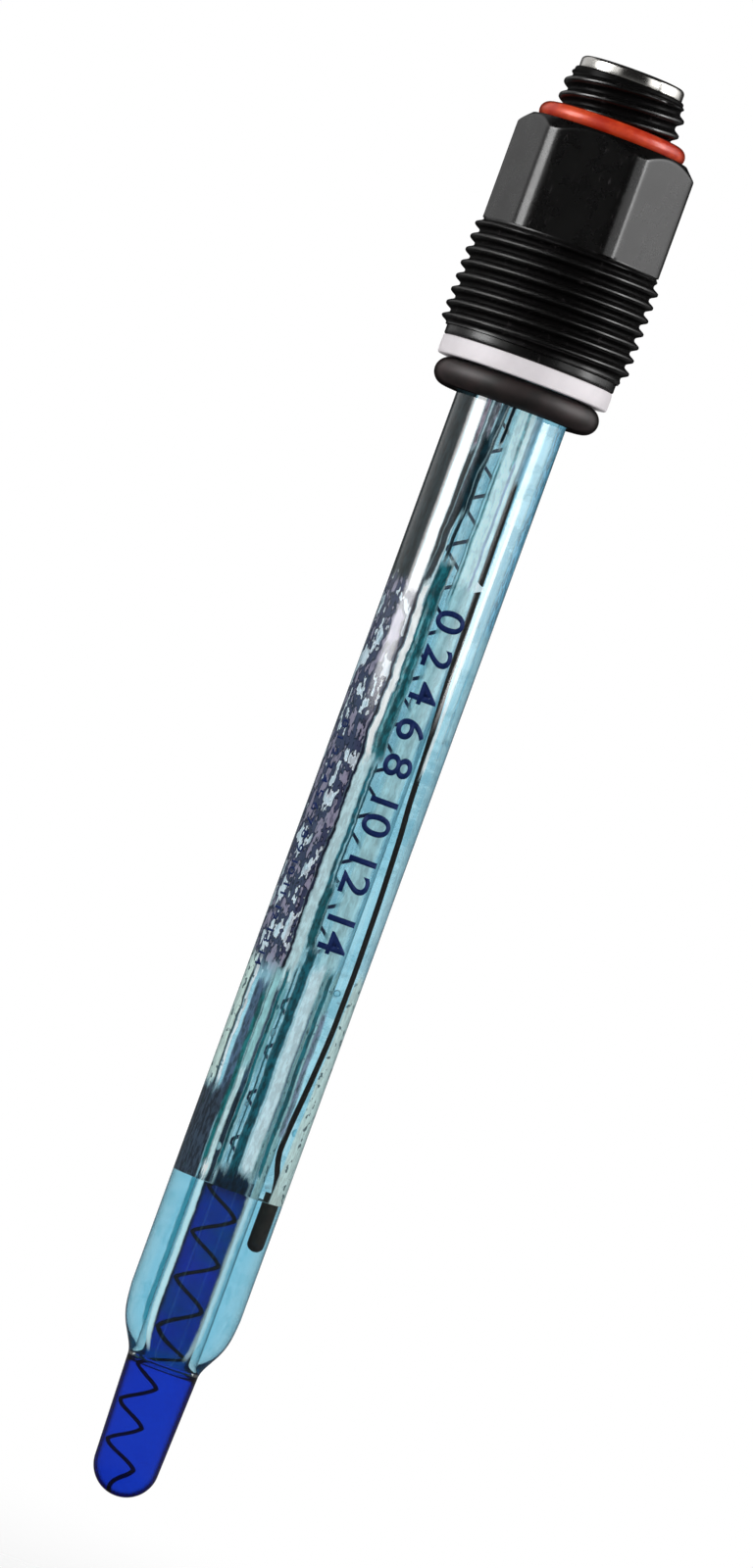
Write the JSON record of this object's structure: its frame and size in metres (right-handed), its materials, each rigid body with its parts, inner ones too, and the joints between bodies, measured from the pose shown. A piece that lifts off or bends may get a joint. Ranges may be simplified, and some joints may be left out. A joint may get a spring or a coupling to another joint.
{
  "type": "ph electrode",
  "caption": "Combination glass pH electrode: 12 mm glass shaft with a blue-filled sensing bulb, panel-gland plug head and screw-on coaxial connector.",
  "frame": {"origin": "on the shaft's axis, at the lower edge of the lowest crest of the gland thread on the plug head", "axes": "+Z along the axis towards the cable connector, so the glass shaft and bulb point to -Z; -Y is the side that the picture shows, and the reference cartridge lies towards +X"},
  "size_m": [0.0204, 0.0204, 0.1568],
  "materials": {
    "black_plastic": "moulded black plastic, satin",
    "nickel": "nickel-plated, polished",
    "ivory_plastic": "turned plastic",
    "gold_plate": "gold-plated brass",
    "orange_rubber": "orange-red silicone rubber",
    "white_plastic": "pale plastic",
    "dark_rubber": "dark brown-black rubber",
    "resin": "cast resin",
    "clear_glass": "clear glass",
    "red_rubber": "silicone rubber",
    "pale_rubber": "pale rubber",
    "membrane_glass": "thin blue-tinted glass",
    "blue_buffer": "deep blue jelly",
    "dark_wire": "dark chloride-coated silver",
    "clear_gel": "clear light blue gel",
    "mottled_gel": "mottled blue-grey gel",
    "white_bead": "white ceramic",
    "dark_fill": "packed silver chloride",
    "solder": "solder"
  },
  "bodies": {
    "electrode": {"plug_head": "black_plastic", "shield_contact_ring": "nickel", "contact_insulator": "ivory_plastic", "centre_contact": "gold_plate", "connector_o_ring": "orange_rubber", "shaft_o_ring": "dark_rubber", "head_potting": "resin", "shaft_tube": "clear_glass", "gel_seal": "red_rubber", "inner_tube": "clear_glass", "inner_tube_stopper": "pale_rubber", "membrane_bulb": "membrane_glass", "inner_buffer": "blue_buffer", "electrode_wire": "dark_wire", "lower_gel": "clear_gel", "upper_gel": "mottled_gel", "reference_lead": "dark_wire", "lead_bead": "white_bead", "cartridge_sleeve": "clear_glass", "cartridge_fill": "dark_fill", "cartridge_plug": "dark_fill", "signal_solder": "solder", "shield_solder": "solder"},
    "collar": {"thrust_collar": "white_plastic"}
  },
  "joints": [
    {"name": "collar_turn", "type": "hinge", "parent": "electrode", "child": "collar", "pos_m": [0, 0, -0.00295], "axis": [0, 0, 1], "continuous": true}
  ]
}
